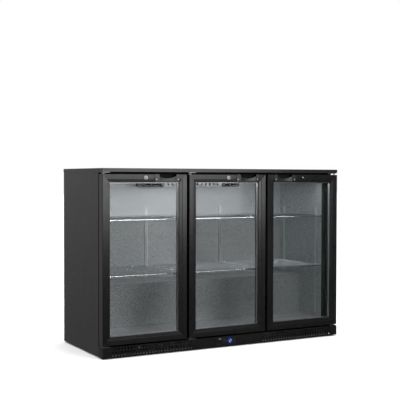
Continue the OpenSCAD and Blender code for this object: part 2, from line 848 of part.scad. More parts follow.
// Slotted strip; its height runs from z0 to z1 and its face is normal to Y
module pilaster_outline(z0, z1) {
  slots = floor((z1 - z0 - 20) / pilaster_pitch);
  difference() {
    rect([-pilaster_w / 2, z0], [pilaster_w / 2, z1]);
    for (k = [0:slots])
      rect([-2, z0 + 8 + k * pilaster_pitch], [2, z0 + 16 + k * pilaster_pitch]);
  }
}

mullion_back = y_frame + mullion_t;
pilaster_tops = min(upper_shelf_z + pilaster_rise, shelf_top_limit);

module shelf_pilasters() {
  color(aluminium) {
    for (s = [-1, 1]) {
      for (k = [0, 1])
        translate([s > 0 ? inner_x - 2 : -inner_x, pilaster_y[k], 0])
          plate_x(0, 2) pilaster_outline(k == 0 ? z_floor + 20 : z_step + 6, pilaster_tops);
      translate([s * mullion_x, 0, 0])
        plate_y(mullion_back, mullion_back + pilaster_t)
          pilaster_outline(z_floor + 20, pilaster_tops);
      translate([s * mullion_x, 0, 0])
        plate_y(y_rear - pilaster_t, y_rear) pilaster_outline(z_step + 6, pilaster_tops);
    }
  }
}

// Clip seats just below the shelf's rim
module shelf_clips() {
  color(steel)
  for (z = [lower_shelf_z, upper_shelf_z], s = [-1, 1]) {
    seat = z - rim_r - clear;
    for (y = pilaster_y) {
      block([s > 0 ? inner_x - 14 : -inner_x + 2, y - clip_w / 2, seat - clip_t],
            [s > 0 ? inner_x - 2 : -inner_x + 14, y + clip_w / 2, seat]);
      block([s > 0 ? inner_x - 4 : -inner_x + 2, y - clip_w / 2, seat - 14],
            [s > 0 ? inner_x - 2 : -inner_x + 4, y + clip_w / 2, seat - clip_t + eps]);
    }
    for (y = [mullion_back + pilaster_t, y_rear - pilaster_t - 14]) {
      x = s * mullion_x;
      block([x - 16, y, seat - clip_t], [x + 16, y + 14, seat]);
      wall = y < 0 ? y : y + 12;
      block([x - 7, wall, seat - 14], [x + 7, wall + 2, seat - clip_t + eps]);
    }
  }
}

// ---------------------------------------------------------------- cold side

// Housing over the coil, with a fan opening in each wing and slots along its front
module evaporator_cover() {
  wing = fan_x + fan_size / 2 + 8;
  low = z_ceiling - evap_deep;
  color(aluminium)
  difference() {
    union() {
      block([-wing, evap_y0, z_evap], [wing, y_rear, z_ceiling]);
      block([-evap_half, evap_y0, low], [evap_half, y_rear, z_ceiling]);
    }
    block([-wing + skin_t, evap_y0 + skin_t, z_evap + skin_t],
          [wing - skin_t, y_rear - skin_t, z_ceiling + 1]);
    block([-evap_half + skin_t, evap_y0 + skin_t, low + skin_t],
          [evap_half - skin_t, y_rear - skin_t, z_ceiling + 1]);
    for (s = [-1, 1])
      translate([s * fan_x, y_rear - fan_size / 2 - 2, z_evap - 1])
        cylinder(r = fan_size / 2 - 5, h = 3);
    for (k = [-6:6])
      block([k * evap_half / 7 - 5, evap_y0 - 1, low + 8],
            [k * evap_half / 7 + 5, evap_y0 + 2, z_evap - 5]);
  }
}

// Finned coil inside the cover
module evaporator_coil() {
  low = z_ceiling - evap_deep + 4;
  high = z_ceiling - 4;
  x1 = evap_half - 14;
  color(aluminium) {
    for (k = [0:13])
      block([-x1 + 6 + k * (2 * x1 - 13) / 13, evap_y0 + 10, low],
            [-x1 + 7 + k * (2 * x1 - 13) / 13, y_rear - 10, high]);
    for (y = [evap_y0 + 30, (evap_y0 + y_rear) / 2, y_rear - 30])
      rod_x(y, (low + high) / 2, -x1, x1, 4);
  }
}

// Square axial fan frame with struts and motor cup, its axis along Z from 0 to depth
module fan_frame(size, depth) {
  cup = size * 0.16;
  difference() {
    translate([-size / 2, -size / 2, 0]) cube([size, size, depth]);
    translate([0, 0, -1]) cylinder(r = size / 2 - 4, h = depth + 2);
    for (sx = [-1, 1], sy = [-1, 1])
      translate([sx * (size / 2 - 7), sy * (size / 2 - 7), -1]) cylinder(r = 2.2, h = depth + 2);
  }
  difference() {
    union() {
      cylinder(r = cup, h = depth * 0.4);
      for (a = [45:90:315])
        rotate([0, 0, a]) translate([cup - 2, -2.5, 0]) cube([size / 2 - cup, 5, 3]);
    }
    translate([0, 0, 2]) cylinder(r = 2 + run_fit, h = depth);
  }
}

// Rotor: hub, shaft and five pitched blades
module fan_rotor(size, depth) {
  hub = size * 0.17;
  reach = size / 2 - 7;
  low = depth * 0.4 + 1;
  high = depth - 1.5;
  translate([0, 0, low]) cylinder(r = hub, h = high - low);
  translate([0, 0, 3]) cylinder(r = 2, h = low - 3 + eps);
  intersection() {
    translate([0, 0, low]) cylinder(r = reach, h = high - low);
    union()
      for (a = [0:72:288])
        rotate([0, 0, a]) translate([hub - 2, 0, (low + high) / 2]) rotate([32, 0, 0])
          translate([0, -size * 0.15, -0.8]) cube([reach, size * 0.3, 1.6]);
  }
}

fan_y = y_rear - fan_size / 2 - 2;
cond_fan = 150;
cond_fan_t = 38;
cond_x = -side_x + 290;
cond_z = floor_gap + pan_t + 14 + cond_fan / 2;
cond_y = y_mach + 62;

// Places a fan drawn along Z in the evaporator (side -1 or 1) or behind the condenser (0)
module at_fan(side) {
  if (side == 0) translate([cond_x, cond_y, cond_z]) rotate([-90, 0, 0]) children();
  else translate([side * fan_x, fan_y, z_evap - fan_t]) children();
}

module fan_frames() {
  color(dark_plastic) {
    at_fan(-1) fan_frame(fan_size, fan_t);
    at_fan(1) fan_frame(fan_size, fan_t);
    at_fan(0) fan_frame(cond_fan, cond_fan_t);
  }
}

// Rotor on the left (side -1) or the right (side 1) under the evaporator cover
module evaporator_fan(side) {
  color(dark_plastic) at_fan(side) fan_rotor(fan_size, fan_t);
}

module condenser_fan() {
  color(aluminium) at_fan(0) fan_rotor(cond_fan, cond_fan_t);
}

module interior_light() {
  color([0.95, 0.98, 1])
  block([-inner_x + 42, y_liner + 14, z_ceiling - 10], [inner_x - 42, y_liner + 34, z_ceiling]);
}

// ---------------------------------------------------------------- machine compartment

// Outline of the compressor's welded shell: two domes on a short wall
function shell_points(r, h, dome) = concat(
  [[0, 0]],
  [for (a = [0:15:90]) [r * sin(a), dome * (1 - cos(a))]],
  [for (a = [90:-15:0]) [r * sin(a), h - dome * (1 - cos(a))]]);

module compressor() {
  base = floor_gap + pan_t;
  cx = side_x - 300;
  cy = (y_mach + y_back) / 2;
  color(dark_plastic)
  translate([cx, cy, base]) {
    translate([0, 0, 11]) rotate_extrude($fn = 64) polygon(shell_points(72, 168, 46));
    translate([-95, -60, 10]) cube([190, 120, 4]);
    for (sx = [-1, 1], sy = [-1, 1])
      translate([sx * 80, sy * 48, 0]) cylinder(r = 12, h = 10);
    translate([-14, 66, 66]) cube([28, 22, 40]);
  }
}

// Finned condenser in front of its fan, standing on the base pan
module condenser() {
  base = floor_gap + pan_t;
  y0 = y_mach + 20;
  y1 = cond_y - 2;
  x0 = cond_x - 110;
  x1 = cond_x + 110;
  color(steel) {
    for (x = [x0, x1 - 2])
      block([x, y0, base], [x + 2, y1, base + 190]);
    for (k = [1:20])
      block([x0 + 3 + k * 10, y0 + 2, base + 6], [x0 + 4 + k * 10, y1 - 2, base + 184]);
    for (k = [0:5])
      rod_x((y0 + y1) / 2, base + 20 + k * 30, x0 - 4, x1 + 4, 4);
  }
}

module drip_tray() {
  base = floor_gap + pan_t;
  color(dark_plastic)
  difference() {
    block([-90, y_mach + 30, base], [130, y_back - 30, base + 35]);
    block([-88, y_mach + 32, base + 2], [128, y_back - 32, base + 36]);
  }
}

gland_x = side_x - 90;
gland_z = floor_gap + 44;
gland_bore = 4.5;
gland_body = 8;
gland_proud = 2;

// Louvred cover of the machine compartment
module rear_grille() {
  edge = side_x - skin_t - clear;
  slot_w = 60;
  cols = floor((2 * edge - 60) / (slot_w + 16));
  rows = floor((mach_h - 110) / 14);
  color(panel_black)
  difference() {
    plate_y(y_back - pan_t, y_back)
      difference() {
        rect([-edge, floor_gap], [edge, z_mach - clear]);
        for (c = [0:cols - 1], r = [0:rows - 1])
          translate([(c - (cols - 1) / 2) * (slot_w + 16), z_mach - 40 - r * 14])
            square([slot_w, 6], center = true);
      }
    for (p = back_screws)
      rod_y(p[0], p[1], y_back - 3, y_back + 1, 1.6 + clear);
    rod_y(gland_x, gland_z, y_back - 3, y_back + 1, gland_body + fix_fit);
  }
}

// Grommet that the mains lead passes through
module cable_gland() {
  color(dark_plastic)
  difference() {
    union() {
      rod_y(gland_x, gland_z, y_back - 12, y_back + 1, gland_body);
      rod_y(gland_x, gland_z, y_back, y_back + gland_proud, gland_body + 3);
      rod_y(gland_x, gland_z, y_back - pan_t - 3, y_back - pan_t - 0.5, gland_body + 2);
    }
    rod_y(gland_x, gland_z, y_back - 13, y_back + 5, gland_bore);
  }
}

// ---------------------------------------------------------------- assembly

worktop();
side_panel_left();
side_panel_right();
back_panel();
base_pan();
insulation();
liner();
front_frame();
plinth_grille();
cabinet_screws();
control_housing();
thermostat_knob();
light_switch();
power_led();
hinge_plates();
levelling_feet();
shelf_pilasters();
shelf_clips();
evaporator_cover();
evaporator_coil();
fan_frames();
evaporator_fan(-1);  // left_fan
evaporator_fan(1);  // right_fan
condenser_fan();
interior_light();
compressor();
condenser();
rear_grille();
drip_tray();
cable_gland();

in_bay(0) door_frame();  // left_door_frame
in_bay(0) door_glass();  // left_door_glass
in_bay(0) door_spacer();  // left_door_spacer
in_bay(0) door_gasket();  // left_door_gasket
in_bay(0) door_handle();  // left_door_handle
in_bay(0) lock_housing();  // left_lock_housing
in_bay(0) lock_cylinder();  // left_lock_cylinder
in_bay(0) hinge_bushes();  // left_hinge_bushes
in_bay(1) door_frame();  // middle_door_frame
in_bay(1) door_glass();  // middle_door_glass
in_bay(1) door_spacer();  // middle_door_spacer
in_bay(1) door_gasket();  // middle_door_gasket
in_bay(1) door_handle();  // middle_door_handle
in_bay(1) lock_housing();  // middle_lock_housing
in_bay(1) lock_cylinder();  // middle_lock_cylinder
in_bay(1) hinge_bushes();  // middle_hinge_bushes
in_bay(2) door_frame();  // right_door_frame
in_bay(2) door_glass();  // right_door_glass
in_bay(2) door_spacer();  // right_door_spacer
in_bay(2) door_gasket();  // right_door_gasket
in_bay(2) door_handle();  // right_door_handle
in_bay(2) lock_housing();  // right_lock_housing
in_bay(2) lock_cylinder();  // right_lock_cylinder
in_bay(2) hinge_bushes();  // right_hinge_bushes

wire_shelf(0, upper_shelf_z);  // left_upper_shelf
wire_shelf(0, lower_shelf_z);  // left_lower_shelf
wire_shelf(1, upper_shelf_z);  // middle_upper_shelf
wire_shelf(1, lower_shelf_z);  // middle_lower_shelf
wire_shelf(2, upper_shelf_z);  // right_upper_shelf
wire_shelf(2, lower_shelf_z);  // right_lower_shelf
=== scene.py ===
import json
import math

import bmesh
import bpy
from mathutils import Matrix, Vector


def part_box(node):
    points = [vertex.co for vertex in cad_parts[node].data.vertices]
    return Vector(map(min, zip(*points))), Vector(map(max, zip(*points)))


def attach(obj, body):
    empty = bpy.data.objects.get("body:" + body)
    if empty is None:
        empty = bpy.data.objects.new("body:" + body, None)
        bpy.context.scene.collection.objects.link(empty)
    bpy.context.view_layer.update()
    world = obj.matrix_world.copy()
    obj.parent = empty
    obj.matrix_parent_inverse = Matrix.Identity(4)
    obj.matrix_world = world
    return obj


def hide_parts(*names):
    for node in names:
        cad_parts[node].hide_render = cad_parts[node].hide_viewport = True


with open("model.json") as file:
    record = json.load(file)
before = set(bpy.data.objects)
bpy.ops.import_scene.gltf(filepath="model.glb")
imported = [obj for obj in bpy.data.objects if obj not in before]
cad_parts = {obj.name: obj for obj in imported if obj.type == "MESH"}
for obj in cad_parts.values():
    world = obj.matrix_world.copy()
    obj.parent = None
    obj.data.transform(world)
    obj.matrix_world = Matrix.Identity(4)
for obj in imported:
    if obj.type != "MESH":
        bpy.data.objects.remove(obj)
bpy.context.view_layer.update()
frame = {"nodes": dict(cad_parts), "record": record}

RECORD = frame["record"]
BODY_OF = {n: b for b, nodes in RECORD["behaviour"]["bodies"].items() for n in nodes}
SLOT_OF = {s["node"]: s["material_slot"] for s in RECORD["subparts"]}
DOORS = ("left", "middle", "right")
CABINET = BODY_OF["worktop"]
MM = 0.001

# Camera fitted to the product shot: degrees, millimetres and metres
CAMERA_YAW, CAMERA_PITCH, CAMERA_ROLL = 28.7605, 1.4312, 0.0956
CAMERA_LENS, CAMERA_SENSOR = 79.078, 36
CAMERA_PLACE = (-2.2297, -4.0275, 0.8442)


# ------------------------------------------------------------------ camera, light and floor

def make_camera():
    """Camera at the viewing angle of the product shot, front-left at worktop height."""
    yaw, pitch, roll = map(math.radians, (CAMERA_YAW, CAMERA_PITCH, CAMERA_ROLL))
    forward = Vector((math.sin(yaw) * math.cos(pitch), math.cos(yaw) * math.cos(pitch),
                      -math.sin(pitch)))
    right = Vector((math.cos(yaw), -math.sin(yaw), 0))
    up = right.cross(forward)
    side = right * math.cos(roll) + up * math.sin(roll)
    top = up * math.cos(roll) - right * math.sin(roll)
    data = bpy.data.cameras.new("camera")
    data.lens = CAMERA_LENS
    data.sensor_width = CAMERA_SENSOR
    camera = bpy.data.objects.new("camera", data)
    camera.matrix_world = Matrix((
        (side.x, top.x, -forward.x, CAMERA_PLACE[0]),
        (side.y, top.y, -forward.y, CAMERA_PLACE[1]),
        (side.z, top.z, -forward.z, CAMERA_PLACE[2]),
        (0, 0, 0, 1)))
    bpy.context.scene.collection.objects.link(camera)
    bpy.context.scene.camera = camera


def area_light(name, place, target, size, radiance, color=(1, 1, 1)):
    """Rectangular softbox; radiance is the brightness of its face."""
    data = bpy.data.lights.new(name, "AREA")
    data.shape = "RECTANGLE"
    data.size, data.size_y = size
    data.energy = radiance * math.pi * size[0] * size[1]
    data.color = color
    light = bpy.data.objects.new(name, data)
    light.location = place
    aim = Vector(target) - Vector(place)
    light.rotation_euler = aim.to_track_quat("-Z", "Y").to_euler()
    light.visible_camera = False
    bpy.context.scene.collection.objects.link(light)


def make_world(behind, front, below):
    """White to the camera; the room that lights the object is dimmer, and dimmest front right."""
    right_share = 0.3
    above = 1.15
    world = bpy.data.worlds.new("studio")
    world.use_nodes = True
    nodes, links = world.node_tree.nodes, world.node_tree.links
    backdrop = nodes["Background"]
    backdrop.inputs["Color"].default_value = (1, 1, 1, 1)
    room = nodes.new("ShaderNodeBackground")
    coords = nodes.new("ShaderNodeTexCoord")
    split = nodes.new("ShaderNodeSeparateXYZ")
    links.new(coords.outputs["Generated"], split.inputs["Vector"])

    def fade(axis, start, end, low, high):
        """Value that runs from low to high as the direction's axis runs from start to end."""
        node = nodes.new("ShaderNodeMapRange")
        for socket, value in (("From Min", start), ("From Max", end), ("To Min", low),
                              ("To Max", high)):
            node.inputs[socket].default_value = value
        links.new(split.outputs[axis], node.inputs["Value"])
        return node.outputs["Result"]

    around = fade("Y", -0.6, 0.6, front, behind)
    links.new(fade("X", 0.38, 0.62, front, front * right_share), around.node.inputs["To Min"])
    strength = nodes.new("ShaderNodeMath")
    strength.operation = "MULTIPLY"
    links.new(around, strength.inputs[0])
    links.new(fade("Z", -0.14, 0.08, below, above), strength.inputs[1])
    links.new(strength.outputs["Value"], room.inputs["Strength"])
    path = nodes.new("ShaderNodeLightPath")
    mix = nodes.new("ShaderNodeMixShader")
    links.new(path.outputs["Is Camera Ray"], mix.inputs["Fac"])
    links.new(room.outputs["Background"], mix.inputs[1])
    links.new(backdrop.outputs["Background"], mix.inputs[2])
    links.new(mix.outputs["Shader"], nodes["World Output"].inputs["Surface"])
    bpy.context.scene.world = world


def overhead_sun(strength, softness):
    """Light from straight above; softness is its angle in degrees."""
    data = bpy.data.lights.new("overhead", "SUN")
    data.energy = strength
    data.angle = math.radians(softness)
    sun = bpy.data.objects.new("overhead", data)
    bpy.context.scene.collection.objects.link(sun)


def make_floor():
    """Pale matt floor, which the glossy doors don't reflect."""
    half = 40
    white = 0.92
    mesh = bpy.data.meshes.new("floor")
    mesh.from_pydata([(-half, -half, 0), (half, -half, 0), (half, half, 0), (-half, half, 0)],
                     [], [(0, 1, 2, 3)])
    floor = bpy.data.objects.new("floor", mesh)
    floor.visible_glossy = False
    bpy.context.scene.collection.objects.link(floor)
    material = bpy.data.materials.new("studio_floor")
    material.use_nodes = True
    pale = material.node_tree.nodes["Principled BSDF"]
    pale.inputs["Base Color"].default_value = (white, white, white, 1)
    pale.inputs["Roughness"].default_value = 0.9
    pale.inputs["Specular IOR Level"].default_value = 0.1
    mesh.materials.append(material)


make_camera()
bpy.context.scene.view_settings.view_transform = "Standard"
make_world(behind=0.66, front=0.14, below=0.42)
make_floor()
overhead_sun(strength=3.6, softness=50)
area_light("front_softbox", place=(0.25, -1.6, 1.17), target=(0.03, 0, 0.75), size=(1.35, 1.2),
           radiance=4.0)


# ------------------------------------------------------------------ materials

def new_material(name):
    """Principled material with its node tree, its shader and object coordinates."""
    material = bpy.data.materials.new(name)
    material.use_nodes = True
    nodes = material.node_tree.nodes
    shader = nodes["Principled BSDF"]
    coords = nodes.new("ShaderNodeTexCoord")
    return material, nodes, material.node_tree.links, shader, coords


def noise(nodes, links, coords, scale, detail=3.0):
    node = nodes.new("ShaderNodeTexNoise")
    node.inputs["Scale"].default_value = scale
    node.inputs["Detail"].default_value = detail
    links.new(coords.outputs["Object"], node.inputs["Vector"])
    return node


def ramp(nodes, links, source, low, high, start=0.3, end=0.7):
    """Ramp from low to high, which are numbers or colours."""
    node = nodes.new("ShaderNodeValToRGB")
    colours = [(c, c, c, 1) if isinstance(c, (int, float)) else (*c, 1) for c in (low, high)]
    node.color_ramp.elements[0].position = start
    node.color_ramp.elements[1].position = end
    node.color_ramp.elements[0].color = colours[0]
    node.color_ramp.elements[1].color = colours[1]
    links.new(source, node.inputs["Fac"])
    return node.outputs["Color"]


def bump(nodes, links, shader, height, strength, distance):
    node = nodes.new("ShaderNodeBump")
    node.inputs["Strength"].default_value = strength
    node.inputs["Distance"].default_value = distance
    links.new(height, node.inputs["Height"])
    links.new(node.outputs["Normal"], shader.inputs["Normal"])


def coated(name, dark, light, rough, grain, depth, specular=0.5):
    """Painted or moulded surface: cloudy colour, uneven gloss and a fine raised grain."""
    unevenness = 0.03
    material, nodes, links, shader, coords = new_material(name)
    shader.inputs["Specular IOR Level"].default_value = specular
    clouds = noise(nodes, links, coords, 9)
    links.new(ramp(nodes, links, clouds.outputs["Fac"], dark, light), shader.inputs["Base Color"])
    gloss = noise(nodes, links, coords, 60, detail=6)
    links.new(ramp(nodes, links, gloss.outputs["Fac"], rough - unevenness, rough + unevenness),
              shader.inputs["Roughness"])
    peel = noise(nodes, links, coords, grain, detail=2)
    bump(nodes, links, shader, peel.outputs["Fac"], strength=0.3, distance=depth)
    return material


def stucco(name):
    """Embossed aluminium sheet: small irregular pebbles over a dull metal."""
    material, nodes, links, shader, coords = new_material(name)
    shader.inputs["Metallic"].default_value = 0.85
    cells = nodes.new("ShaderNodeTexVoronoi")
    cells.feature = "SMOOTH_F1"
    cells.inputs["Scale"].default_value = 180
    cells.inputs["Smoothness"].default_value = 0.6
    links.new(coords.outputs["Object"], cells.inputs["Vector"])
    links.new(ramp(nodes, links, cells.outputs["Distance"], (0.56, 0.57, 0.58), (0.28, 0.29, 0.30),
                   start=0.1, end=0.75), shader.inputs["Base Color"])
    smears = noise(nodes, links, coords, 25, detail=5)
    links.new(ramp(nodes, links, smears.outputs["Fac"], 0.36, 0.52), shader.inputs["Roughness"])
    bump(nodes, links, shader, cells.outputs["Distance"], strength=0.7, distance=0.0013)
    return material


def metal(name, dark, light, rough, stretch=(40, 900, 900)):
    """Bare metal; an uneven stretch draws its grain out into fine lines along X."""
    material, nodes, links, shader, coords = new_material(name)
    shader.inputs["Metallic"].default_value = 1.0
    mapping = nodes.new("ShaderNodeMapping")
    mapping.inputs["Scale"].default_value = stretch
    links.new(coords.outputs["Object"], mapping.inputs["Vector"])
    lines = nodes.new("ShaderNodeTexNoise")
    lines.inputs["Scale"].default_value = 1.0
    lines.inputs["Detail"].default_value = 4
    links.new(mapping.outputs["Vector"], lines.inputs["Vector"])
    links.new(ramp(nodes, links, lines.outputs["Fac"], dark, light), shader.inputs["Base Color"])
    links.new(ramp(nodes, links, lines.outputs["Fac"], rough - 0.05, rough + 0.08),
              shader.inputs["Roughness"])
    bump(nodes, links, shader, lines.outputs["Fac"], strength=0.2, distance=0.00002)
    return material


def galvanised(name):
    """Zinc-coated sheet with its spangle."""
    material, nodes, links, shader, coords = new_material(name)
    shader.inputs["Metallic"].default_value = 0.9
    cells = nodes.new("ShaderNodeTexVoronoi")
    cells.inputs["Scale"].default_value = 70
    links.new(coords.outputs["Object"], cells.inputs["Vector"])
    links.new(ramp(nodes, links, cells.outputs["Color"], (0.42, 0.43, 0.44), (0.6, 0.61, 0.62),
                   start=0, end=1), shader.inputs["Base Color"])
    links.new(ramp(nodes, links, cells.outputs["Color"], 0.32, 0.55, start=0, end=1),
              shader.inputs["Roughness"])
    return material


def glowing(name, color, strength, base):
    """Lit plastic with a slightly uneven brightness."""
    material, nodes, links, shader, coords = new_material(name)
    shader.inputs["Base Color"].default_value = (*base, 1)
    shader.inputs["Roughness"].default_value = 0.3
    shader.inputs["Emission Strength"].default_value = strength
    haze = noise(nodes, links, coords, 120)
    faint = tuple(c * 0.85 for c in color)
    links.new(ramp(nodes, links, haze.outputs["Fac"], faint, color), shader.inputs["Emission Color"])
    return material


def clear_glass(name):
    """Float glass pane, almost clear, with faint wiping marks in its gloss."""
    material, nodes, links, shader, coords = new_material(name)
    shader.inputs["Base Color"].default_value = (0.02, 0.035, 0.03, 1)
    shader.inputs["Specular IOR Level"].default_value = 0.8
    shader.inputs["Alpha"].default_value = 0.06
    smears = noise(nodes, links, coords, 6, detail=6)
    links.new(ramp(nodes, links, smears.outputs["Fac"], 0.01, 0.04), shader.inputs["Roughness"])
    return material


# Materials by record slot
MATERIALS = {
    "cabinet_paint": coated("cabinet_paint", (0.007, 0.007, 0.0075), (0.010, 0.010, 0.0105),
                            rough=0.36, grain=900, depth=0.00002),
    "door_frame_plastic": coated("door_frame_satin", (0.0045, 0.0045, 0.005),
                                 (0.006, 0.006, 0.0065), rough=0.30, grain=1700, depth=0.00001),
    "black_plastic": coated("black_plastic", (0.006, 0.006, 0.0065), (0.009, 0.009, 0.010),
                            rough=0.38, grain=2200, depth=0.00002),
    "galvanised_sheet": galvanised("galvanised_sheet"),
    "foam": coated("polyurethane_foam", (0.62, 0.55, 0.36), (0.75, 0.68, 0.48), rough=0.8, grain=500,
                   depth=0.0006),
    "stucco_aluminium": stucco("stucco_aluminium"),
    "aluminium": metal("mill_aluminium", (0.50, 0.51, 0.52), (0.64, 0.65, 0.66), rough=0.34),
    "chrome_wire": metal("chrome_wire", (0.62, 0.62, 0.63), (0.78, 0.78, 0.79), rough=0.16),
    "steel_parts": metal("zinc_steel", (0.42, 0.42, 0.43), (0.58, 0.58, 0.59), rough=0.34),
    "glass": clear_glass("clear_glass"),
    "gasket_rubber": coated("gasket_rubber", (0.010, 0.010, 0.011), (0.016, 0.016, 0.017),
                            rough=0.6, grain=1800, depth=0.00005, specular=0.3),
    "nylon": coated("nylon", (0.62, 0.62, 0.58), (0.72, 0.72, 0.68), rough=0.5, grain=900,
                    depth=0.00005),
    "knob_blue": glowing("knob_blue", (0.003, 0.008, 0.12), strength=1.0, base=(0.004, 0.006, 0.04)),
    "led_blue": glowing("led_blue", (0.05, 0.13, 0.50), strength=1.0, base=(0.05, 0.1, 0.4)),
    "light_diffuser": glowing("light_diffuser", (0.86, 0.94, 1.0), strength=2.0,
                              base=(0.8, 0.85, 0.9)),
    "compressor_black": coated("compressor_enamel", (0.010, 0.010, 0.010), (0.016, 0.016, 0.016),
                               rough=0.3, grain=500, depth=0.0001),
}
HINGE_ZINC = metal("hinge_zinc", (0.14, 0.14, 0.15), (0.22, 0.22, 0.23), rough=0.36)
COPPER = metal("copper_pipe", (0.55, 0.24, 0.13), (0.72, 0.36, 0.21), rough=0.28,
               stretch=(60, 60, 60))
KNOB_LIGHT = glowing("knob_light", (0.10, 0.19, 0.44), strength=1.0, base=(0.08, 0.14, 0.30))
# Darker matt black: the fans' own black, and painted shade on the front frame in the gap above the
# doors and deep in the handle pockets
MATT_BLACK_AND_SHADE = coated("matt_black_and_painted_shade", (0.003, 0.003, 0.003), (0.005, 0.005, 0.005), rough=0.75,
                    grain=2000, depth=0.00003, specular=0.12)
# Darker, less glossy copy of the cabinet paint for the plinth: painted shade at the foot of the
# cabinet
PLINTH_PAINT_SHADED = coated("plinth_paint_painted_shade", (0.005, 0.005, 0.0055), (0.007, 0.007, 0.0075), rough=0.42,
                      grain=900, depth=0.00002, specular=0.28)
# Chrome with a much darker base colour than chrome_wire: painted shade standing in for the dark
# surroundings the lock reflects
LOCK_CHROME_SHADED = metal("lock_chrome_painted_shade", (0.15, 0.15, 0.155), (0.22, 0.22, 0.225), rough=0.14,
                    stretch=(300, 300, 300))
# Rough aluminium fins with a darkened base colour: painted shade under the cabinet ceiling
DULL_FIN_SHADED = metal("dull_fin_painted_shade", (0.16, 0.16, 0.17), (0.24, 0.24, 0.25), rough=0.6)
WHITE_PRINT = coated("white_print", (0.62, 0.62, 0.62), (0.70, 0.70, 0.70), rough=0.5, grain=900,
                     depth=0.00001)


# ------------------------------------------------------------------ pieces

def finish_piece(obj, body, slot, *replaced, material=None):
    """Material, body, slot and the CAD nodes that the piece stands for."""
    obj.data.materials.append(material or MATERIALS[slot])
    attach(obj, body)
    if replaced:
        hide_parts(*replaced)
    return obj


def link_mesh(name, mesh):
    obj = bpy.data.objects.new(name, mesh)
    bpy.context.scene.collection.objects.link(obj)
    return obj


def smooth(mesh, angle=32):
    """Smooth shading, with edges sharper than angle in degrees left sharp."""
    for polygon in mesh.polygons:
        polygon.use_smooth = True
    mesh.set_sharp_from_angle(angle=math.radians(angle))


def from_bmesh(name, work, angle=32):
    """Object from a bmesh, with outward normals and smooth shading below angle."""
    bmesh.ops.recalc_face_normals(work, faces=work.faces)
    mesh = bpy.data.meshes.new(name)
    work.to_mesh(mesh)
    work.free()
    smooth(mesh, angle)
    return link_mesh(name, mesh)


def soften(obj, width):
    """Bevel of width millimetres on edges that turn more than sharp degrees, big faces kept flat."""
    sharp = 34
    bevel = obj.modifiers.new("edges", "BEVEL")
    bevel.width = width * MM
    bevel.segments = 2
    bevel.limit_method = "ANGLE"
    bevel.angle_limit = math.radians(sharp)
    bevel.use_clamp_overlap = True
    normals = obj.modifiers.new("flat_faces", "WEIGHTED_NORMAL")
    normals.weight = 100
    normals.keep_sharp = True


def cleaned(node):
    """Bmesh of a CAD node, with the triangles of each flat face joined."""
    weld = 0.002 * MM
    flat = math.radians(0.4)
    work = bmesh.new()
    work.from_mesh(frame["nodes"][node].data)
    bmesh.ops.remove_doubles(work, verts=work.verts, dist=weld)
    bmesh.ops.dissolve_limit(work, angle_limit=flat, verts=work.verts, edges=work.edges)
    return work


def refined(node, width, material=None):
    """Copy of a CAD node with softened edges, which stands for the node."""
    work = cleaned(node)
    mesh = bpy.data.meshes.new(node + "_shell")
    work.to_mesh(mesh)
    work.free()
    smooth(mesh)
    obj = link_mesh(node + "_shell", mesh)
    soften(obj, width)
    return finish_piece(obj, BODY_OF[node], SLOT_OF[node], node, material=material)


# Edge softening of each carried-over shell, in millimetres
EDGES = {
    "worktop": 0.45, "plinth_grille": 0.3, "front_frame": 0.5, "control_housing": 0.25,
    "thermostat_knob": 0.5, "light_switch": 0.5, "hinge_plates": 0.4, "levelling_feet": 0.5,
    "evaporator_cover": 0.3, "fan_frames": 0.8, "compressor": 1.2, "drip_tray": 0.6,
    "rear_grille": 0.25, "cable_gland": 0.8,
}
for door in DOORS:
    EDGES[door + "_door_frame"] = 0.6
    EDGES[door + "_door_handle"] = 0.7
    EDGES[door + "_lock_housing"] = 0.6
    EDGES[door + "_lock_cylinder"] = 0.25
# Nodes whose look isn't their record slot's usual one
OWN_MATERIALS = {
    # front_frame takes the darker matt black as painted shade in the gap between the door tops and
    # the worktop
    # plinth_grille takes the darker copy of the paint as painted shade low on the front
    "hinge_plates": HINGE_ZINC, "plinth_grille": PLINTH_PAINT_SHADED, "front_frame": MATT_BLACK_AND_SHADE,
    "fan_frames": MATT_BLACK_AND_SHADE, "left_fan": MATT_BLACK_AND_SHADE, "right_fan": MATT_BLACK_AND_SHADE,
    "evaporator_coil": DULL_FIN_SHADED,
    "evaporator_cover": MATERIALS["stucco_aluminium"],
}
for door in DOORS:
    OWN_MATERIALS[door + "_lock_housing"] = LOCK_CHROME_SHADED
    OWN_MATERIALS[door + "_lock_cylinder"] = LOCK_CHROME_SHADED


def painted_shade_pocket(obj):
    """Darker matt faces deep inside a handle's finger pocket: painted shade in the recess."""
    depth = 9 * MM
    # painted shade: faces deeper than depth take the darker matt black instead of the handle's
    # plastic
    obj.data.materials.append(MATT_BLACK_AND_SHADE)
    front = min(v.co.y for v in obj.data.vertices)
    for polygon in obj.data.polygons:
        if polygon.center.y > front + depth:
            polygon.material_index = 1


for node_name, softening in EDGES.items():
    shell = refined(node_name, softening, material=OWN_MATERIALS.get(node_name))
    # the deep pocket faces of each handle get painted shade
    if node_name.endswith("_door_handle"):
        painted_shade_pocket(shell)


def paint_carried_over():
    """Materials on the CAD nodes that stay."""
    for name, obj in frame["nodes"].items():
        if name in EDGES or name.endswith("_door_gasket"):
            continue
        material = OWN_MATERIALS.get(name, MATERIALS[SLOT_OF[name]])
        if obj.material_slots:
            for material_slot in obj.material_slots:
                material_slot.material = material
        else:
            obj.data.materials.append(material)


paint_carried_over()


# ------------------------------------------------------------------ small parts

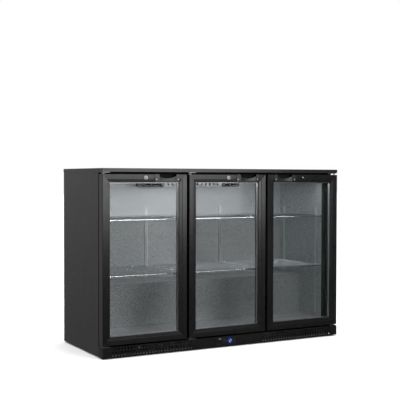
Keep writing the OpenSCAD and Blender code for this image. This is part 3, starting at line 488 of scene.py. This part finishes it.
def revolved(rings, steps=32, recess=None):
    """Bmesh turned about Y from (radius, y) rings, the first nearest the axis.

    recess(x, z, y) may move a point along Y.
    """
    work = bmesh.new()
    loops = []
    for radius, y in rings:
        loop = []
        for k in range(steps):
            turn = 2 * math.pi * k / steps
            x, z = radius * math.cos(turn), radius * math.sin(turn)
            loop.append(work.verts.new((x, recess(x, z, y) if recess else y, z)))
        loops.append(loop)
    for inner, outer in zip(loops, loops[1:]):
        for k in range(steps):
            work.faces.new((inner[k], inner[k - 1], outer[k - 1], outer[k]))
    work.faces.new(loops[0])
    work.faces.new(loops[-1])
    return work


def bridge(work, first, second):
    """Faces between two closed loops of as many points."""
    for k in range(len(first)):
        work.faces.new((first[k - 1], first[k], second[k], second[k - 1]))


def prism(outline, y0, y1, front_scale=1.0):
    """Bmesh of an outline of (x, z) points between y0 and y1."""
    work = bmesh.new()
    front = [work.verts.new((x * front_scale, y0, z * front_scale)) for x, z in outline]
    back = [work.verts.new((x, y1, z)) for x, z in outline]
    bridge(work, front, back)
    work.faces.new(front)
    work.faces.new(back)
    return work


def moved(work, place, turn_y=0.0):
    bmesh.ops.transform(work, matrix=Matrix.Translation(place) @ Matrix.Rotation(turn_y, 4, "Y"),
                        verts=work.verts)
    return work


def screw_head(name, place, radius, body):
    """Pan head with a cross recess, facing -Y; place is the middle of its seat."""
    rise = 0.42 * radius
    arm, arm_reach = 0.19 * radius, 0.64 * radius
    flatness = 0.92

    def cross(x, z, y):
        reach = math.hypot(x, z)
        in_arm = min(abs(x), abs(z)) < arm and reach < arm_reach
        return y + 0.55 * rise if in_arm else y

    rings = [(0.04 * radius, -rise)]
    for share in (0.16, 0.27, 0.38, 0.49, 0.60, 0.70, 0.80, 0.90, 0.97):
        rings.append((share * radius, -rise * math.sqrt(1 - flatness * share ** 2)))
    rings += [(radius, -0.12 * rise), (radius, 0.2 * rise)]
    finish_piece(from_bmesh(name, moved(revolved(rings, 36, cross), place), 40), body, "steel_parts")


def stadium(width, height, y0, y1):
    """Bmesh of a bar with round ends, long side along Z, between y0 and y1."""
    steps = 8
    radius = width / 2
    outline = []
    for end in (1, -1):
        for k in range(steps + 1):
            turn = math.pi * k / steps
            outline.append((end * radius * math.cos(turn),
                            end * (height / 2 - radius + radius * math.sin(turn))))
    return prism(outline, y0, y1)


def swept_frame(name, box, section):
    """Mitred loop round a door; section lists (inset from the box, y) points in order."""
    (x0, z0), (x1, z1) = box
    work = bmesh.new()
    loops = [[work.verts.new(p) for p in ((x0 + u, y, z0 + u), (x1 - u, y, z0 + u),
                                          (x1 - u, y, z1 - u), (x0 + u, y, z1 - u))]
             for u, y in section]
    for first, second in zip(loops, loops[1:] + loops[:1]):
        bridge(work, first, second)
    return from_bmesh(name, work, 50)


def pipe(name, points, radius, bend, steps=6):
    """Copper tube along the points, each corner bent in steps within a distance of bend."""
    sides = 12
    path = [Vector(points[0])]
    for before, corner, after in zip(points, points[1:], points[2:]):
        corner = Vector(corner)
        to_first = Vector(before) - corner
        to_second = Vector(after) - corner
        reach = min(bend, to_first.length / 2, to_second.length / 2)
        start = corner + to_first.normalized() * reach
        end = corner + to_second.normalized() * reach
        for k in range(steps + 1):
            t = k / steps
            path.append((1 - t) ** 2 * start + 2 * t * (1 - t) * corner + t ** 2 * end)
    path.append(Vector(points[-1]))
    work = bmesh.new()
    side = None
    loops = []
    for k, point in enumerate(path):
        ahead = (path[min(k + 1, len(path) - 1)] - path[max(k - 1, 0)]).normalized()
        if side is None:
            side = ahead.orthogonal().normalized()
        side = (side - ahead * side.dot(ahead)).normalized()
        other = ahead.cross(side)
        loops.append([work.verts.new(point + radius * (math.cos(a) * side + math.sin(a) * other))
                      for a in (2 * math.pi * j / sides for j in range(sides))])
    for first, second in zip(loops, loops[1:]):
        bridge(work, first, second)
    work.faces.new(loops[0])
    work.faces.new(loops[-1])
    finish_piece(from_bmesh(name, work, 50), CABINET, "steel_parts", material=COPPER)


def door_small_parts(door):
    """Handle screws, lock face and the folded profile of the gasket."""
    body = BODY_OF[door + "_door_frame"]
    low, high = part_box(door + "_door_handle")
    left_gap, right_gap = (7, 9) if door == "right" else (9, 7)
    head_radius = 3.1 * MM
    seat_y, seat_z = low[1] + 0.1 * MM, high[2] - 24 * MM
    for side, x in (("a", low[0] + left_gap * MM), ("b", high[0] - right_gap * MM)):
        screw_head(door + "_handle_screw_" + side, (x, seat_y, seat_z), head_radius, body)

    low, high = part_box(door + "_lock_cylinder")
    lock_low, lock_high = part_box(door + "_lock_housing")
    centre = ((lock_low[0] + lock_high[0]) / 2, low[1], (lock_low[2] + lock_high[2]) / 2)
    lock_body = BODY_OF[door + "_lock_cylinder"]
    radius, rise = 5.6 * MM, 1.5 * MM
    dome = [(share * radius, -rise * math.sqrt(max(0.0, 1 - share ** 2)))
            for share in (0.05, 0.25, 0.45, 0.6, 0.72, 0.82, 0.9, 0.96, 1.0)]
    skirt = 0.3 * MM
    dome.append((radius, skirt))
    finish_piece(from_bmesh(door + "_lock_dome", moved(revolved(dome), centre), 60), lock_body,
                 "chrome_wire", material=LOCK_CHROME_SHADED)
    slot_width, slot_height = 1.1 * MM, 5.4 * MM
    slot_front, slot_back = -rise - 0.05 * MM, -0.2 * MM
    keyway = moved(stadium(slot_width, slot_height, slot_front, slot_back), centre)
    finish_piece(from_bmesh(door + "_lock_keyway", keyway), lock_body, "black_plastic")

    low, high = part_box(door + "_door_gasket")
    dart_depth = 3.7 * MM
    back = low[1] + dart_depth
    section = [(0.5, 0), (0.5, 1.2), (2.3, 2.2), (2.3, 3.6), (0.7, 4.8), (0.3, 6.8), (1.0, 8.6),
               (2.2, 9), (12.8, 9), (14, 8.6), (14.7, 6.8), (14.3, 4.8), (12.7, 3.6),
               (12.7, 2.2), (14.5, 1.2), (14.5, 0), (8.6, 0), (8.6, -2.2), (9.4, -2.9),
               (7.5, -3.7), (5.6, -2.9), (6.4, -2.2), (6.4, 0)]
    gasket = swept_frame(door + "_gasket_profile", ((low[0], low[2]), (high[0], high[2])),
                         [(u * MM, back + y * MM) for u, y in section])
    finish_piece(gasket, body, "gasket_rubber", door + "_door_gasket")


for door in DOORS:
    door_small_parts(door)


def knob_face():
    """Two lit fields of the thermostat knob, either side of its diagonal grip."""
    low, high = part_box("thermostat_knob")
    grip_height = 1.5 * MM
    centre = Vector(((low[0] + high[0]) / 2, low[1] + grip_height, (low[2] + high[2]) / 2))
    radius, half_grip, steps = 8.8 * MM, 2.7 * MM, 14
    proud, sunk, front_scale = -0.5 * MM, 0.2 * MM, 0.97
    grip_turn = math.radians(-45)
    start = math.asin(half_grip / radius)
    for side in (1, -1):
        outline = []
        for k in range(steps + 1):
            turn = start + (math.pi - 2 * start) * k / steps
            outline.append((side * radius * math.sin(turn), side * radius * math.cos(turn)))
        field = prism(outline, proud, sunk, front_scale)
        piece = from_bmesh("knob_field_%s" % ("right" if side > 0 else "left"),
                           moved(field, centre, grip_turn))
        finish_piece(piece, BODY_OF["thermostat_knob"], "knob_blue", material=KNOB_LIGHT)


knob_face()


def panel_mark():
    """Short light line printed above the rocker switch."""
    low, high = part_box("light_switch")
    panel_low, panel_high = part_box("control_housing")
    width, length, below_edge = 1.6 * MM, 11 * MM, 4.3 * MM
    proud, sunk = -0.12 * MM, 0.1 * MM
    mark = stadium(width, length, proud, sunk)
    place = ((low[0] + high[0]) / 2, panel_low[1], panel_high[2] - below_edge)
    finish_piece(from_bmesh("switch_mark", moved(mark, place, math.radians(90))), CABINET,
                 "black_plastic", material=WHITE_PRINT)


panel_mark()


def refrigerant_pipes():
    """Copper lines and return bends of the machine compartment."""
    low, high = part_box("condenser")
    y = (low[1] + high[1]) / 2
    first_row, pitch, overhang, sunk = 20, 30, 16, 2
    for k in range(5):
        z = low[2] + (first_row + pitch * k) * MM
        x, out = (high[0], 1) if k % 2 == 0 else (low[0], -1)
        inside, outside = x - out * sunk * MM, x + out * overhang * MM
        pipe("condenser_bend_%d" % (k + 1),
             [(inside, y, z), (outside, y, z), (outside, y, z + pitch * MM),
              (inside, y, z + pitch * MM)],
             4 * MM, bend=0.015, steps=8)
    shell_low, shell_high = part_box("compressor")
    middle = (shell_low[1] + shell_high[1]) / 2

    line_y, exit_z, over_z = middle - 20 * MM, shell_high[2] - 60 * MM, shell_high[2] + 26 * MM
    beside_x, drop_x = shell_low[0] - 40 * MM, high[0] + 60 * MM
    top_z = low[2] + 170 * MM
    pipe("discharge_pipe",
         [(shell_low[0] + 30 * MM, line_y, exit_z), (beside_x, line_y, exit_z),
          (beside_x, line_y, over_z), (drop_x, line_y, over_z),
          (drop_x, y, top_z), (high[0] - sunk * MM, y, top_z)],
         3 * MM, bend=0.018)

    line_y, exit_z, beside_x = middle + 25 * MM, shell_high[2] - 80 * MM, shell_low[0] - 22 * MM
    pipe("suction_pipe",
         [(shell_low[0] + 34 * MM, line_y, exit_z), (beside_x, line_y, exit_z),
          (beside_x, line_y, shell_high[2] + 68 * MM)],
         4 * MM, bend=0.018)

    line_y = middle + 30 * MM
    pipe("process_tube",
         [(shell_high[0] - 40 * MM, line_y, shell_high[2] - 40 * MM),
          (shell_high[0] - 2 * MM, line_y, shell_high[2] - 30 * MM),
          (shell_high[0] + 12 * MM, line_y, shell_high[2] + 18 * MM)],
         3 * MM, bend=0.01)


refrigerant_pipes()

# ------------------------------------------------------------------ light inside the cabinet

def bay_lights():
    """One light under the diffuser in each bay, aimed down and a little back."""
    low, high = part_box("interior_light")
    bay = (high[0] - low[0]) / len(DOORS)
    y = (low[1] + high[1]) / 2
    gap, lean = 4 * MM, 0.08
    for k in range(len(DOORS)):
        x = low[0] + (k + 0.5) * bay
        area_light("bay_light_%d" % (k + 1), place=(x, y, low[2] - gap), target=(x, y + lean, 0),
                   size=(bay * 0.95, high[1] - low[1]), radiance=48, color=(0.94, 0.98, 1.0))


bay_lights()
